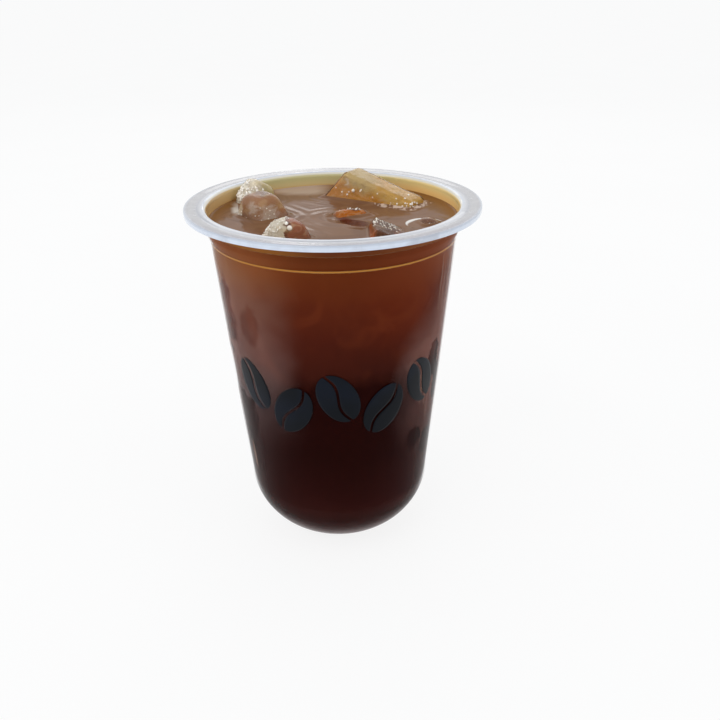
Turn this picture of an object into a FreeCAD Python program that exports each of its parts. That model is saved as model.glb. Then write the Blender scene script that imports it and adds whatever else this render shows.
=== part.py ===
"""An iced americano in a moulded clear plastic cup. Millimetres, +Z up.

The origin is on the cup's axis, in the plane that its foot ring stands on. The front of the cup,
where its print goes, faces -Y. The coffee fills the cup up to its level and is cut round the lumps
of ice that stand out of it. All the solids rest in and on each other, and nothing moves.
"""

import FreeCAD, Part
import Sketcher
import math
import os

# Driving dimensions: name, value and what it is. Lengths in millimetres, angles in degrees.
SIZES = (
    ("cup_height", 121.1, "floor to the flat of the rim"),
    ("rim_radius", 47.5, "outside of the lip"),
    ("mouth_radius", 41.1, "outside of the neck, under the lip"),
    ("ledge_step", 1.2, "how far the body steps in below the neck"),
    ("base_radius", 30.6, "where the line of the body would meet the floor"),
    ("neck_height", 10.15, "flat of the rim down to the ledge's lower edge"),
    ("ledge_height", 2.6, "height of the sloping ledge"),
    ("wall", 0.7, "wall of body and neck"),
    ("lip_wall", 0.6, "wall of the lip"),
    ("lip_drop", 1.9, "flat of the rim down to the foot of the lip's skirt"),
    ("lip_round", 0.45, "rounding of the lip's outer edge"),
    ("mouth_round", 1.6, "rounding from the flat of the rim into the neck"),
    ("corner_round", 24.0, "outer rounding from the body into the base"),
    ("base_wall", 2.0, "floor to the inside of the base"),
    ("foot_radius", 15.5, "outside of the foot ring"),
    ("foot_width", 2.5, "width of the foot ring's tread"),
    ("foot_recess", 1.0, "how far the base is raised inside the foot ring"),
    ("level_drop", 5.4, "flat of the rim down to the coffee"),
    ("wall_gap", 0.3, "least gap between ice and cup"),
    ("ice_sunk", 13.0, "how deep a lump of ice reaches below its belt"),
    ("ice_draft", 9.0, "how far the sunk sides of a lump lean in"),
)

# The lumps of ice, one row each. The middle of a lump is at a bearing from +X, anticlockwise, and
# an inset from the inside of the neck. Its belt, long by wide, is lifted over the level of the
# coffee. rise is its height over the belt, draft the lean of its upper sides and edge the rounding
# of its edges. yaw, tilt and lean turn it about Z, about its width and about its length.
ICE_COLUMNS = (
    "bearing", "inset", "lift", "long", "wide", "rise", "draft", "edge", "yaw", "tilt", "lean"
)
ICE_ROWS = {
    "slab": (54.0, 14.0, -5.0, 38.0, 18.0, 11.0, 23.0, 1.2, -38.0, 14.0, 0.0),
    "back_left": (142.0, 6.0, 0.0, 13.5, 9.5, 7.0, 12.0, 2.5, 51.0, 30.0, 0.0),
    "left": (171.5, 17.0, -3.0, 15.5, 17.0, 10.5, 16.0, 4.0, 37.0, -5.0, 0.0),
    "front_left": (237.0, 14.0, -5.0, 17.0, 18.0, 11.0, 24.0, 3.5, 41.0, 0.0, 6.0),
    "centre": (15.0, 35.0, -2.8, 16.0, 10.0, 5.0, 35.0, 1.0, 25.0, 0.0, 0.0),
    "front_right": (310.0, 13.0, -2.7, 16.0, 15.0, 4.2, 7.0, 1.2, 0.0, 22.0, 1.0),
    "right": (343.0, 9.5, -4.8, 10.0, 10.0, 6.3, 26.0, 1.4, 20.0, 3.0, 0.0),
}

# Heights and radii that several outlines share, as expressions on the sheet.
LEDGE_FOOT = "Sizes.cup_height - Sizes.neck_height"
LEDGE_TOP = f"{LEDGE_FOOT} + Sizes.ledge_height"
LEVEL = "Sizes.cup_height - Sizes.level_drop"
BODY_RADIUS = "Sizes.mouth_radius - Sizes.ledge_step"
NECK_BORE = "Sizes.mouth_radius - Sizes.wall"
BODY_BORE = f"{BODY_RADIUS} - Sizes.wall"
TAPER = f"({BODY_RADIUS} - Sizes.base_radius) / ({LEDGE_FOOT})"
BASE_BORE = f"Sizes.base_radius - Sizes.wall + Sizes.base_wall * {TAPER}"
CORNER_BORE_ROUND = "Sizes.corner_round - Sizes.wall"
FOOT_INSIDE = "Sizes.foot_radius - Sizes.foot_width"


def make_sheet(doc):
    """The sheet of driving dimensions, with one named cell for each."""
    rows = list(SIZES)
    for lump, values in ICE_ROWS.items():
        for column, value in zip(ICE_COLUMNS, values):
            rows.append((f"{lump}_{column}", value, f"lump of ice {lump}: {column}"))
    sheet = doc.addObject("Spreadsheet::Sheet", "Sizes")
    for line, (name, value, meaning) in enumerate(rows, start=1):
        sheet.set(f"A{line}", name)
        sheet.set(f"B{line}", str(value))
        sheet.set(f"C{line}", meaning)
        sheet.setAlias(f"B{line}", name)
    doc.recompute()


def number(body, expression):
    """What an expression on the sheet comes to."""
    return float(body.evalExpression(expression))


def add_sketch(body, name, plane, corners):
    """A sketch on one of the body's own planes, with one closed outline, drawn anticlockwise.

    corners holds each corner's place across and up, as expressions on the sheet, or as "0" where
    it lies on the sketch's own axis, and for a rounded corner the rounding's radius.
    """
    sketch = body.newObject("Sketcher::SketchObject", name)
    base_plane = next(item for item in body.Origin.OriginFeatures if item.Role == plane)
    sketch.AttachmentSupport = [(base_plane, "")]
    sketch.MapMode = "FlatFace"
    count = len(corners)
    places = [FreeCAD.Vector(number(body, item[0]), number(body, item[1]), 0) for item in corners]
    ways = [(places[(line + 1) % count] - places[line]).normalize() for line in range(count)]
    radii = [number(body, item[2]) if len(item) > 2 else 0.0 for item in corners]
    trims = [
        radii[line] * math.tan(ways[line - 1].getAngle(ways[line]) / 2) for line in range(count)
    ]
    for line in range(count):
        after = (line + 1) % count
        start = places[line] + ways[line] * trims[line]
        sketch.addGeometry(Part.LineSegment(start, places[after] - ways[line] * trims[after]))
    for line, corner in enumerate(corners):
        if radii[line]:
            trimmed = places[line] - ways[line - 1] * trims[line]
            held = round_corner(sketch, line, trimmed, ways, radii[line], corner[2], places[line])
        else:
            sketch.addConstraint(Sketcher.Constraint("Coincident", (line - 1) % count, 2, line, 1))
            held = line
        tie(sketch, "DistanceX", held, f"across{line}", corner[0], places[line].x)
        tie(sketch, "DistanceY", held, f"up{line}", corner[1], places[line].y)
    return sketch


def round_corner(sketch, line, start, ways, radius, expression, corner):
    """Joins the line before and this line by a tangent arc. Both point at the corner's own point,
    whose number comes back."""
    before = (line - 1) % len(ways)
    turn = ways[before].getAngle(ways[line])
    left = ways[before].cross(ways[line]).z > 0
    side = 1 if left else -1
    inward = FreeCAD.Vector(-ways[before].y, ways[before].x, 0) * side
    entry = math.atan2(-inward.y, -inward.x)
    circle = Part.Circle(start + inward * radius, FreeCAD.Vector(0, 0, 1), radius)
    span = (entry, entry + turn) if left else (entry - turn, entry)
    arc = sketch.addGeometry(Part.ArcOfCircle(circle, *span))
    entry_end, exit_end = (1, 2) if left else (2, 1)
    sketch.addConstraint(Sketcher.Constraint("Tangent", before, 2, arc, entry_end))
    sketch.addConstraint(Sketcher.Constraint("Tangent", arc, exit_end, line, 1))
    size = sketch.addConstraint(Sketcher.Constraint("Radius", arc, radius))
    sketch.renameConstraint(size, f"round{line}")
    sketch.setExpression(f"Constraints.round{line}", expression)
    point = sketch.addGeometry(Part.Point(corner), True)
    sketch.addConstraint(Sketcher.Constraint("PointOnObject", point, 1, before))
    sketch.addConstraint(Sketcher.Constraint("PointOnObject", point, 1, line))
    return point


def tie(sketch, kind, item, name, expression, value):
    """Ties the start of a line, or a point, to the sketch's origin in one direction."""
    if expression == "0":
        axis = {"DistanceX": -2, "DistanceY": -1}[kind]
        sketch.addConstraint(Sketcher.Constraint("PointOnObject", item, 1, axis))
        return
    index = sketch.addConstraint(Sketcher.Constraint(kind, -1, 1, item, 1, value))
    sketch.renameConstraint(index, name)
    sketch.setExpression(f"Constraints.{name}", expression)


def turned(body, kind, name, corners):
    """A Revolution or a Groove of an outline, all the way round the body's Z axis."""
    sketch = add_sketch(body, f"{name}Outline", "XZ_Plane", corners)
    before = body.Shape.Volume if body.Tip else 0.0
    feature = body.newObject(f"PartDesign::{kind}", name)
    feature.Profile = sketch
    feature.ReferenceAxis = (sketch, ["V_Axis"])
    feature.Angle = 360
    body.Document.recompute()
    change = body.Shape.Volume - before
    if (change >= 0) if kind == "Groove" else (change <= 0):
        raise ValueError(f"{name} left the volume of {body.Label} as it was")
    return feature


def rounded(body, name, edges, radius):
    """A Fillet of the body's edges, whose radius is an expression on the sheet."""
    base = body.Tip
    fillet = body.newObject("PartDesign::Fillet", name)
    fillet.Base = (base, edges)
    fillet.setExpression("Radius", radius)
    body.Document.recompute()


def inside_outline(gap, top):
    """The outline of what the cup holds, a gap in from its wall and floor, up to a top."""
    floor = f"Sizes.base_wall + {gap}"
    return (
        ("0", floor),
        (f"{BASE_BORE} - {gap}", floor, f"{CORNER_BORE_ROUND} - {gap}"),
        (f"{BODY_BORE} - {gap}", LEDGE_FOOT),
        (f"{NECK_BORE} - {gap}", LEDGE_TOP),
        *top,
    )


def make_cup(doc):
    """The moulded cup: rolled lip, neck, stacking ledge, tapered body and a base on a foot ring."""
    cup = doc.addObject("PartDesign::Body", "cup")
    lip_under = "Sizes.cup_height - Sizes.lip_wall"
    lip_foot = "Sizes.cup_height - Sizes.lip_drop"
    lip_inside = "Sizes.rim_radius - Sizes.lip_wall"
    over_rim = "Sizes.cup_height + Sizes.lip_drop"
    turned(cup, "Revolution", "Blank", (
        ("0", "0"),
        ("Sizes.base_radius", "0", "Sizes.corner_round"),
        (BODY_RADIUS, LEDGE_FOOT),
        ("Sizes.mouth_radius", LEDGE_TOP),
        ("Sizes.mouth_radius", lip_under, "Sizes.mouth_round - Sizes.wall"),
        (lip_inside, lip_under),
        (lip_inside, lip_foot),
        ("Sizes.rim_radius", lip_foot),
        ("Sizes.rim_radius", "Sizes.cup_height", "Sizes.lip_round"),
        ("0", "Sizes.cup_height"),
    ))
    turned(cup, "Revolution", "FootRing", (
        (FOOT_INSIDE, "0"),
        ("Sizes.foot_radius", "0"),
        ("Sizes.foot_radius", "Sizes.corner_round"),
        (FOOT_INSIDE, "Sizes.corner_round"),
    ))
    turned(cup, "Groove", "FootRecess", (
        ("0", "0"),
        (FOOT_INSIDE, "0"),
        (FOOT_INSIDE, "Sizes.foot_recess"),
        ("0", "Sizes.foot_recess"),
    ))
    turned(cup, "Groove", "Bore", inside_outline("0", (
        (NECK_BORE, "Sizes.cup_height", "Sizes.mouth_round"),
        ("Sizes.rim_radius", "Sizes.cup_height"),
        ("Sizes.rim_radius", over_rim),
        ("0", over_rim),
    )))
    return cup


def make_filling(doc, name, gap, top):
    """The cup's inside as a solid, a gap in from its wall, up to a top."""
    filling = doc.addObject("PartDesign::Body", name)
    outline = inside_outline(gap, ((f"{NECK_BORE} - {gap}", top), ("0", top)))
    turned(filling, "Revolution", f"{name}Turned", outline)
    return filling


def make_lump(doc, lump):
    """One half-melted cube of ice: a belt, a tapered top over it and a tapered foot under it."""
    body = doc.addObject("PartDesign::Body", f"{lump}_lump")
    half_long, half_wide = f"Sizes.{lump}_long / 2", f"Sizes.{lump}_wide / 2"
    belt = add_sketch(body, f"{lump}Belt", "XY_Plane", (
        (f"-{half_long}", f"-{half_wide}"),
        (half_long, f"-{half_wide}"),
        (half_long, half_wide),
        (f"-{half_long}", half_wide),
    ))
    for side, height, draft in (
        ("Top", f"Sizes.{lump}_rise", f"Sizes.{lump}_draft"),
        ("Foot", "Sizes.ice_sunk", "Sizes.ice_draft"),
    ):
        pad = body.newObject("PartDesign::Pad", f"{lump}{side}")
        pad.Profile = belt
        pad.Reversed = side == "Foot"
        pad.setExpression("Length", height)
        pad.setExpression("TaperAngle", f"-{draft}")
        doc.recompute()
    edges = [f"Edge{index}" for index in range(1, len(body.Shape.Edges) + 1)]
    rounded(body, f"{lump}Edges", edges, f"Sizes.{lump}_edge")
    reach = f"({NECK_BORE} - Sizes.{lump}_inset)"
    across = f"{reach} * cos(Sizes.{lump}_bearing)"
    along = f"{reach} * sin(Sizes.{lump}_bearing)"
    height = f"{LEVEL} + Sizes.{lump}_lift"
    turn = f"rotation(Sizes.{lump}_yaw; Sizes.{lump}_tilt; Sizes.{lump}_lean)"
    body.setExpression("Placement", f"placement(vector({across}; {along}; {height}); {turn})")
    doc.recompute()
    return body


def make_ice(doc):
    """The lumps of ice. Each stays inside the cup and gives way to the lumps before it."""
    room_top = "Sizes.cup_height + Sizes.rim_radius"
    room = make_filling(doc, "IceRoom", "Sizes.wall_gap", room_top)
    pieces = []
    for lump in ICE_ROWS:
        piece = doc.addObject("Part::Common", f"{lump}_kept")
        piece.Base = make_lump(doc, lump)
        piece.Tool = room
        if pieces:
            piece = cut_round(doc, f"{lump}_cut", piece, pieces)
        piece.Label = f"ice_{lump}"
        pieces.append(piece)
    return pieces


def cut_round(doc, name, blank, pieces):
    """The blank with the pieces cut out of it."""
    tool = doc.addObject("Part::Compound", f"{name}_tool")
    tool.Links = pieces
    cut = doc.addObject("Part::Cut", name)
    cut.Base = blank
    cut.Tool = tool
    doc.recompute()
    return cut


def check(doc, subparts):
    """Stops unless every object recomputed and every sub-part is one sound solid."""
    for item in doc.Objects:
        if "Invalid" in item.State or "Error" in item.State:
            raise ValueError(f"{item.Label} did not recompute")
    for item in subparts:
        shape = item.Shape
        if shape.isNull() or not shape.isValid() or len(shape.Solids) != 1:
            raise ValueError(f"{item.Label} is not one sound solid")


def main():
    doc = FreeCAD.newDocument("Americano")
    make_sheet(doc)
    cup = make_cup(doc)
    ice = make_ice(doc)
    drink = make_filling(doc, "Drink", "0", LEVEL)
    coffee = cut_round(doc, "coffee", drink, ice)
    doc.recompute()
    subparts = [cup, coffee, *ice]
    check(doc, subparts)
    os.makedirs("parts", exist_ok=True)
    for item in subparts:
        item.Shape.exportStep(os.path.join("parts", f"{item.Label}.step"))


main()
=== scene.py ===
"""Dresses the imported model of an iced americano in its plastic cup."""

import math
import random

import bmesh
import bpy
from mathutils import Matrix, Vector, noise
from mathutils.bvhtree import BVHTree


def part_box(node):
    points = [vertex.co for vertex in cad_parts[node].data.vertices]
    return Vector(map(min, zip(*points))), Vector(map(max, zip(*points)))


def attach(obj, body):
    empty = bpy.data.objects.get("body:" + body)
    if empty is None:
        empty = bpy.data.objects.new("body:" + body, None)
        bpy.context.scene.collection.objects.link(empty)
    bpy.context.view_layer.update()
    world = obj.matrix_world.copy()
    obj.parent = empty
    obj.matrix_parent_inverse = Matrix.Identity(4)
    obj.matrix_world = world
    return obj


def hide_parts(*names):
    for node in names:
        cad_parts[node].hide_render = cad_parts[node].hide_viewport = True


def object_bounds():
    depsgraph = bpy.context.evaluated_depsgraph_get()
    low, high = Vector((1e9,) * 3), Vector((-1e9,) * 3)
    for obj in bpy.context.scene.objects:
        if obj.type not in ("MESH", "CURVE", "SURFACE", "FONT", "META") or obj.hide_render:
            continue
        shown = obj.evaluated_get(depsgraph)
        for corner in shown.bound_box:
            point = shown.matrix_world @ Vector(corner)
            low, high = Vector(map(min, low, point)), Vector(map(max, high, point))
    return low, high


bl_info = {
    "name": "Iced Americano",
    "version": (1, 0, 0),
    "blender": (4, 5, 0),
    "location": "View3D > Sidebar > Americano",
    "description": "Cup, coffee, ice, print and studio for an iced americano",
    "category": "Add Mesh",
}

MM = 0.001
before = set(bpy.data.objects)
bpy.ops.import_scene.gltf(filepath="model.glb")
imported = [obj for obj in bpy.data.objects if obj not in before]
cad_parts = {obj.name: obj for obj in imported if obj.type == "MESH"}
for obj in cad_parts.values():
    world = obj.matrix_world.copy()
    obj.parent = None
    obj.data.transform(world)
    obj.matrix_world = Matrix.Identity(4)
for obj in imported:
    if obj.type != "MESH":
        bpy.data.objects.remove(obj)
CAD_BOX = [list(corner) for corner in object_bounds()]
CUP_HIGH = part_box("cup")[1]
COFFEE_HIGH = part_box("coffee")[1]
ICE_NAMES = sorted(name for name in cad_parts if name.startswith("ice_"))
LEVEL = round(COFFEE_HIGH.z / MM, 2)  # height of the coffee in millimetres, as the materials count


# -------- settings


def srgb(red, green, blue):
    """A colour written the way a paint swatch gives it, 0 to 255, as scene light."""
    parts = []
    for value in (red, green, blue):
        value /= 255
        parts.append(value / 12.92 if value <= 0.04045 else ((value + 0.055) / 1.055) ** 2.4)
    return tuple(parts)


# White of frosted ice, also used for painted white highlights.
FROST_AND_HIGHLIGHT_WHITE = srgb(250, 247, 242)


def length(name, default, description):
    return bpy.props.FloatProperty(
        name=name, description=description, default=default, min=0, precision=5, unit="LENGTH"
    )


def colour(name, default, description):
    return bpy.props.FloatVectorProperty(
        name=name, description=description, default=default, size=3, min=0, max=1, subtype="COLOR"
    )


class CupSettings(bpy.types.PropertyGroup):
    """Sizes and colours of the plastic cup."""

    height: length("Height", CUP_HIGH.z, "Foot to the top of the rim")
    rim_radius: length("Rim radius", CUP_HIGH.x, "Centre to the outside of the skirt")
    neck_radius: length("Neck radius", 0.0411, "Centre to the outside of the neck")
    taper_radius: length("Taper radius", 0.0399, "Centre to the body just under the ledge")
    base_radius: length("Base radius", 0.0306, "Where the tapered side would meet the floor")
    ledge_top: length("Ledge top", 0.11355, "Height where the neck steps in")
    ledge_bottom: length("Ledge bottom", 0.11095, "Height where the tapered body starts")
    skirt_bottom: length("Skirt bottom", 0.1192, "Height of the lower edge of the rim")
    corner: length("Bottom corner", 0.024, "Radius of the round between side and base")
    mouth_round: length("Mouth round", 0.0016, "Radius of the inner edge of the rim")
    wall: length("Wall", 0.0007, "Thickness of the side")
    base_wall: length("Base", 0.002, "Height of the floor inside")
    foot_radius: length("Foot radius", 0.0155, "Outside of the foot ring")
    foot_width: length("Foot width", 0.0025, "Width of the foot ring")
    foot_recess: length("Foot recess", 0.001, "Height of the hollow inside the foot ring")
    rim_top: colour("Rim top", srgb(164, 163, 167), "Satin upper face of the rim")
    rim_edge: colour("Rim edge", srgb(200, 209, 224), "Bluish white of the skirt and mouth band")
    rim_groove: colour("Rim groove", srgb(150, 153, 164), "Shaded groove on the rim")


class CoffeeSettings(bpy.types.PropertyGroup):
    """Level, movement and colours of the coffee."""

    level: length("Level", COFFEE_HIGH.z, "Height of the calm surface")
    ripple: length("Ripple", 0.00012, "Height of the gentle waves")
    meniscus: length("Meniscus", 0.0007, "Rise of the coffee against ice and wall")
    # The surface colours are paled with painted reflection of the sky, most in the paler swirls.
    surface: colour("Surface", srgb(129, 92, 65), "Upper surface in daylight")
    surface_dark: colour("Surface shade", srgb(113, 77, 54), "Darker swirls on the surface")
    surface_sky_reflection: colour("Surface lilac", srgb(140, 108, 88), "Paler swirls on the surface")


class IceSettings(bpy.types.PropertyGroup):
    """Finish of the ice."""

    grain: length("Grain", 0.00042, "Edge of the small faces an ice lump is remade from")
    melt: length("Melt", 0.00028, "Depth of the dimples melting leaves")


class PrintSettings(bpy.types.PropertyGroup):
    """Row of coffee beans printed on the side."""

    beans: bpy.props.IntProperty(name="Beans", description="Number in the row", default=5, min=1, max=12)
    bean_length: length("Bean length", 0.0185, "Tip to tip")
    bean_width: length("Bean width", 0.0125, "Across the middle")
    height: length("Height", 0.0652, "Height of the middle of the row")
    spread: bpy.props.FloatProperty(
        name="Spread",
        description="Angle from the first bean to the last",
        default=math.radians(96),
        subtype="ANGLE",
    )
    ink: colour("Ink", srgb(11, 15, 21), "Printing ink")


class StudioSettings(bpy.types.PropertyGroup):
    """Camera and light."""

    lens: bpy.props.FloatProperty(
        name="Lens", description="Focal length", default=38.51, min=1, unit="CAMERA"
    )
    floor: colour("Floor", srgb(250, 250, 250), "Pale floor")
    sky: bpy.props.FloatProperty(name="Sky", description="Light from all round", default=0.76, min=0)
    lamps: bpy.props.FloatProperty(name="Lamps", description="Share of full power", default=1, min=0)


# -------- shaders


class Field:
    """A shader value that grows Math nodes when it is used in an expression."""

    def __init__(self, shader, socket):
        self.shader, self.socket = shader, socket

    def math(self, operation, *others):
        return self.shader.math(operation, self, *others)

    def __add__(self, other):
        return self.math("ADD", other)

    def __sub__(self, other):
        return self.math("SUBTRACT", other)

    def __rsub__(self, other):
        return self.shader.math("SUBTRACT", other, self)

    def __neg__(self):
        return 0 - self

    def __mul__(self, other):
        return self.math("MULTIPLY", other)

    def __truediv__(self, other):
        return self.math("DIVIDE", other)

    def __pow__(self, other):
        return self.math("POWER", other)

    __radd__, __rmul__ = __add__, __mul__

    def clamp(self):
        return self.shader.math("ADD", self, 0, clamp=True)

    def band(self, low, high):
        """0 below low, 1 above high and a smooth step between; swap them to turn it round."""
        node = self.shader.add(
            "MapRange",
            {"interpolation_type": "SMOOTHSTEP", "clamp": True},
            {"Value": self, "From Min": low, "From Max": high},
        )
        return Field(self.shader, node.outputs[0])


def highest(fields):
    """The greatest of some shader values, or 0 where there are none."""
    top = fields[0] if fields else 0
    for field in fields[1:]:
        top = top.math("MAXIMUM", field)
    return top


class Shader:
    """One material, or the sky, and the few nodes it is made of."""

    def __init__(self, name, kind="Material"):
        homes = {"Material": bpy.data.materials, "World": bpy.data.worlds}
        self.owner = homes[kind].new(name)
        self.owner.use_nodes = True
        self.tree = self.owner.node_tree
        self.tree.nodes.clear()
        self.output = self.add("Output" + kind)

    def add(self, kind, settings=None, sockets=()):
        """A node of this kind, less the prefix: settings first, then the values or links of its sockets."""
        node = self.tree.nodes.new("ShaderNode" + kind)
        for key, value in (settings or {}).items():
            if key == "stops":
                ramp = node.color_ramp
                while len(ramp.elements) < len(value):
                    ramp.elements.new(1)
                for element, (place, tint) in zip(ramp.elements, value):
                    element.position, element.color = place, (*tint, 1)
            else:
                setattr(node, key, value)
        pairs = sockets.items() if isinstance(sockets, dict) else enumerate(sockets)
        for key, value in pairs:
            socket = node.inputs[key]
            if isinstance(value, Field):
                self.tree.links.new(value.socket, socket)
            elif isinstance(value, bpy.types.NodeSocket):
                self.tree.links.new(value, socket)
            elif socket.type == "RGBA" and len(value) == 3:
                socket.default_value = (*value, 1)
            else:
                socket.default_value = value
        return node

    def math(self, operation, *values, clamp=False):
        node = self.add("Math", {"operation": operation, "use_clamp": clamp}, values)
        return Field(self, node.outputs[0])

    def place(self):
        """Position on the piece in millimetres, as a vector and its three parts."""
        here = self.add("TexCoord").outputs["Object"]
        scaled = self.add("VectorMath", {"operation": "SCALE"}, {"Vector": here, "Scale": 1 / MM})
        parts = self.add("SeparateXYZ", sockets=[scaled.outputs[0]])
        return scaled.outputs[0], [Field(self, part) for part in parts.outputs]

    def stretch(self, vector, factors):
        return self.add("VectorMath", {"operation": "MULTIPLY"}, [vector, factors]).outputs[0]

    def noise(self, vector, scale, detail=3, rough=0.5, warp=0):
        node = self.add(
            "TexNoise",
            {"noise_dimensions": "3D"},
            {"Vector": vector, "Scale": scale, "Detail": detail, "Roughness": rough, "Distortion": warp},
        )
        return Field(self, node.outputs[0])

    def cells(self, vector, scale):
        node = self.add("TexVoronoi", {"feature": "F1"}, {"Vector": vector, "Scale": scale})
        return Field(self, node.outputs[0])

    def ramp(self, value, stops):
        return self.add("ValToRGB", {"stops": stops}, [value]).outputs[0]

    def mix(self, factor, first, second):
        """One colour turning into another as the factor goes from 0 to 1."""
        settings = {"data_type": "RGBA", "clamp_factor": True}
        return self.add("Mix", settings, {0: factor, 6: first, 7: second}).outputs[2]

    def bump(self, height, distance, strength=1):
        sockets = {"Height": height, "Distance": distance, "Strength": strength}
        return self.add("Bump", sockets=sockets).outputs[0]

    def show(self, surface):
        """Sends a surface to the output and hands over what wears it."""
        self.tree.links.new(surface.outputs[0], self.output.inputs["Surface"])
        return self.owner

    def finish(self, tone, rough, bend, others=()):
        """The Principled surface of the material: colour, roughness, refraction, then other sockets."""
        sockets = {"Base Color": tone, "Roughness": rough, "IOR": bend, **dict(others)}
        return self.show(self.add("BsdfPrincipled", sockets=sockets))


# -------- mesh helpers


def placed(name, data):
    """An object for a mesh, lamp or camera, linked to the scene."""
    thing = bpy.data.objects.new(name, data)
    bpy.context.scene.collection.objects.link(thing)
    return thing


def piece(name, mesh, materials, replaces):
    """Puts a mesh in the scene as a piece of the drink."""
    thing = placed(name, mesh)
    for material in materials:
        mesh.materials.append(material)
    mesh.shade_smooth()
    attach(thing, "root")
    if replaces:
        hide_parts(*replaces)


def as_mesh(shape, name):
    """A mesh with what was drawn in a bmesh."""
    mesh = bpy.data.meshes.new(name)
    shape.to_mesh(mesh)
    shape.free()
    return mesh


def modified(thing):
    """The mesh that an object's modifiers make of it; the object itself goes."""
    mesh = bpy.data.meshes.new_from_object(thing.evaluated_get(bpy.context.evaluated_depsgraph_get()))
    bpy.data.objects.remove(thing)
    return mesh


def arc(centre, radius, start, end, steps):
    """Points on a circle in the radius and height plane, angles in degrees."""
    points = []
    for i in range(steps + 1):
        angle = math.radians(start + (end - start) * i / steps)
        points.append((centre[0] + radius * math.cos(angle), centre[1] + radius * math.sin(angle)))
    return points


def line(start, end, steps):
    """Even points from one place of the plane to another."""
    return [tuple(a + (b - a) * i / steps for a, b in zip(start, end)) for i in range(steps + 1)]


def turned(name, profile, around, slots):
    """A mesh turned about the upright axis from (radius, height) points."""
    clean = [profile[0]]
    for point in profile[1:]:
        if math.dist(point, clean[-1]) > 2e-6:
            clean.append(point)
    shape = bmesh.new()
    rings = []
    for radius, height in clean:
        if radius < 1e-7:
            rings.append([shape.verts.new((0, 0, height))])
            continue
        ring = []
        for k in range(around):
            angle = 2 * math.pi * k / around
            ring.append(shape.verts.new((radius * math.sin(angle), -radius * math.cos(angle), height)))
        rings.append(ring)
    for index, (low, high) in enumerate(zip(rings, rings[1:])):
        for k in range(around):
            after = (k + 1) % around
            if len(low) == 1:
                corners = (low[0], high[after], high[k])
            elif len(high) == 1:
                corners = (low[k], low[after], high[0])
            else:
                corners = (low[k], low[after], high[after], high[k])
            face = shape.faces.new(corners)
            face.material_index = slots(clean[index], clean[index + 1])
    bmesh.ops.recalc_face_normals(shape, faces=shape.faces)
    return as_mesh(shape, name)


def taper(cup, height, inset=0):
    """Radius of the tapered side at a height."""
    slope = (cup.taper_radius - cup.base_radius) / cup.ledge_bottom
    return cup.base_radius + slope * height - inset * math.hypot(1, slope)


def corner_arc(cup, inset, floor, steps):
    """The round between base and tapered side, set in from the outside."""
    lean = math.degrees(math.atan((cup.taper_radius - cup.base_radius) / cup.ledge_bottom))
    radius = cup.corner - inset
    height = floor + radius
    centre = taper(cup, height, inset) - radius / math.cos(math.radians(lean))
    return arc((centre, height), radius, -90, -lean, steps)


def side_radius(cup, height):
    """Outside radius of the cup at a height, round bottom corner included."""
    points = corner_arc(cup, 0, 0, 40)
    if height >= points[-1][1]:
        return taper(cup, height)
    for (r0, z0), (r1, z1) in zip(points, points[1:]):
        if z0 <= height <= z1:
            return r0 + (r1 - r0) * (height - z0) / max(z1 - z0, 1e-9)
    return points[0][0]


# -------- cup


def inner_wall(shader, cup, x, z):
    """Inside of the neck: painted olive and golden light from the coffee below a thin cream line, painted
    brighter to the right and just above the coffee.
    """
    top = cup.height / MM
    right = x.band(8, 34)
    gold = shader.mix(x.band(4, 34), srgb(218, 200, 146), srgb(255, 214, 140))
    gold = shader.mix(x.band(-16, -38), gold, srgb(222, 186, 128))
    olive = shader.mix(right, srgb(202, 199, 144), srgb(246, 226, 158))
    gold = shader.mix(z.band(top - 4, top - 1.6) * x.band(-40, -22) * 0.75, gold, olive)
    waterline = shader.mix(right, srgb(222, 174, 102), srgb(255, 198, 118))
    gold = shader.mix(z.band(top - 3.8, top - 5.2) * 0.8, gold, waterline)
    return shader.mix(z.band(top - 1, top - 0.55), gold, srgb(228, 224, 212))


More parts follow.
